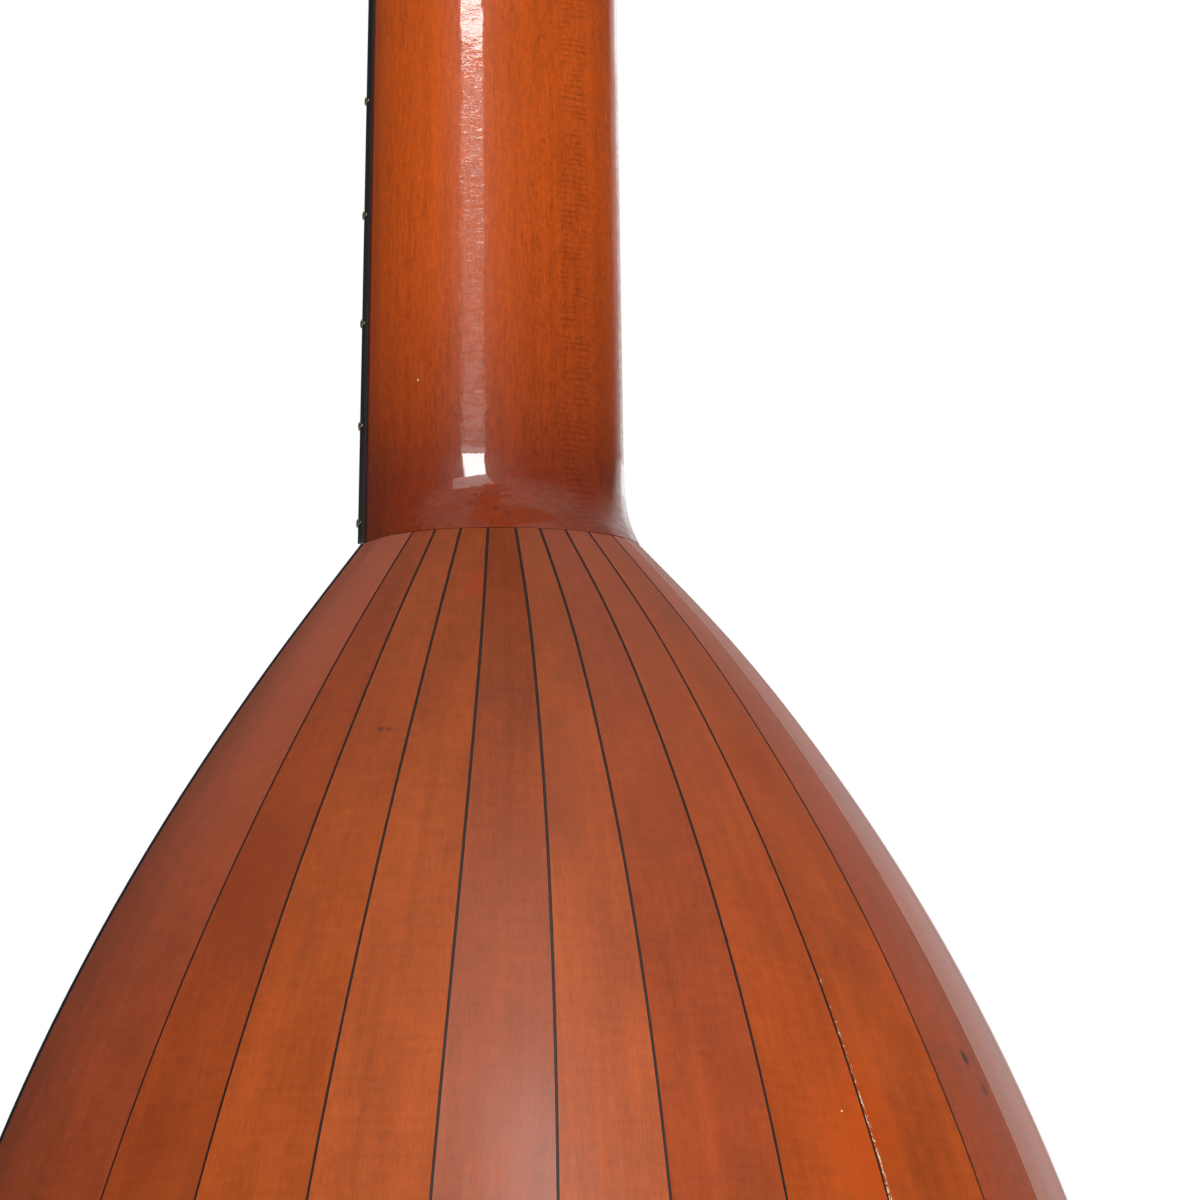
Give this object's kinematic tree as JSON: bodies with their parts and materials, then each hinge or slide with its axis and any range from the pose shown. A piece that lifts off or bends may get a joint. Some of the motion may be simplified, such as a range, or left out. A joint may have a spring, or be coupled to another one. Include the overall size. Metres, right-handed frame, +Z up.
{
  "type": "lute",
  "caption": "Lute with a deep bowl of thirteen bent ribs and black spacers, a fretted neck, a raised fingerboard, a rose carved in the soundboard and a bent-back pegbox with turning pegs.",
  "frame": {"origin": "where the strings leave the nut, in the middle of the glue plane between neck and fingerboard, at the neck's top end, where a wall hanger's yoke holds the instrument", "axes": "+Z runs up the neck away from the body, -Y comes out of the soundboard towards the player's strings, +Y goes into the bowl's back, X runs across"},
  "size_m": [0.3016, 0.1777, 0.7448],
  "materials": {
    "rib_wood": "glossy orange-brown varnish over bent maple ribs",
    "spacer_wood": "black-dyed strip, varnished over",
    "inner_wood": "bare spruce, sanded",
    "soundboard_wood": "straight-grained spruce with a thin amber varnish",
    "bridge_wood": "dark hardwood, oiled",
    "neck_wood": "glossy orange-brown varnish, finely streaked grain with some curl",
    "ebony": "black, smooth, dull sheen",
    "bone": "bone, polished by hand",
    "fret_metal": "nickel silver wire, worn bright",
    "peg_wood": "turned dark hardwood, waxed",
    "treble_string": "plain translucent string",
    "wound_string": "string wound with fine metal wire"
  },
  "bodies": {
    "root": {"rib_01": "rib_wood", "rib_02": "rib_wood", "rib_03": "rib_wood", "rib_04": "rib_wood", "rib_05": "rib_wood", "rib_06": "rib_wood", "rib_07": "rib_wood", "rib_08": "rib_wood", "rib_09": "rib_wood", "rib_10": "rib_wood", "rib_11": "rib_wood", "rib_12": "rib_wood", "rib_13": "rib_wood", "spacer_01": "spacer_wood", "spacer_02": "spacer_wood", "spacer_03": "spacer_wood", "spacer_04": "spacer_wood", "spacer_05": "spacer_wood", "spacer_06": "spacer_wood", "spacer_07": "spacer_wood", "spacer_08": "spacer_wood", "spacer_09": "spacer_wood", "spacer_10": "spacer_wood", "spacer_11": "spacer_wood", "spacer_12": "spacer_wood", "neck_block": "inner_wood", "tail_block": "inner_wood", "end_clasp": "rib_wood", "soundboard": "soundboard_wood", "edge_binding": "spacer_wood", "bar_1": "inner_wood", "bar_2": "inner_wood", "bar_3": "inner_wood", "bridge": "bridge_wood", "neck": "neck_wood", "fingerboard": "ebony", "nut": "bone", "fret_1": "fret_metal", "fret_2": "fret_metal", "fret_3": "fret_metal", "fret_4": "fret_metal", "fret_5": "fret_metal", "fret_6": "fret_metal", "fret_7": "fret_metal", "fret_8": "fret_metal", "fret_9": "fret_metal", "pegbox": "neck_wood", "pegbox_back": "neck_wood", "string_1": "treble_string", "string_2": "treble_string", "string_3": "treble_string", "string_4": "wound_string", "string_5": "wound_string", "string_6": "wound_string"},
    "peg_1": {"peg_1": "peg_wood"},
    "peg_2": {"peg_2": "peg_wood"},
    "peg_3": {"peg_3": "peg_wood"},
    "peg_4": {"peg_4": "peg_wood"},
    "peg_5": {"peg_5": "peg_wood"},
    "peg_6": {"peg_6": "peg_wood"}
  },
  "joints": [
    {"name": "peg_1_turn", "type": "hinge", "parent": "root", "child": "peg_1", "pos_m": [0, 0.02756, -0.00339], "axis": [1, 0, 0], "continuous": true},
    {"name": "peg_2_turn", "type": "hinge", "parent": "root", "child": "peg_2", "pos_m": [0, 0.04922, 0.00043], "axis": [-1, 0, 0], "continuous": true},
    {"name": "peg_3_turn", "type": "hinge", "parent": "root", "child": "peg_3", "pos_m": [0, 0.07089, 0.00425], "axis": [1, 0, 0], "continuous": true},
    {"name": "peg_4_turn", "type": "hinge", "parent": "root", "child": "peg_4", "pos_m": [0, 0.09256, 0.00807], "axis": [-1, 0, 0], "continuous": true},
    {"name": "peg_5_turn", "type": "hinge", "parent": "root", "child": "peg_5", "pos_m": [0, 0.11422, 0.01189], "axis": [1, 0, 0], "continuous": true},
    {"name": "peg_6_turn", "type": "hinge", "parent": "root", "child": "peg_6", "pos_m": [0, 0.13589, 0.01571], "axis": [-1, 0, 0], "continuous": true}
  ]
}
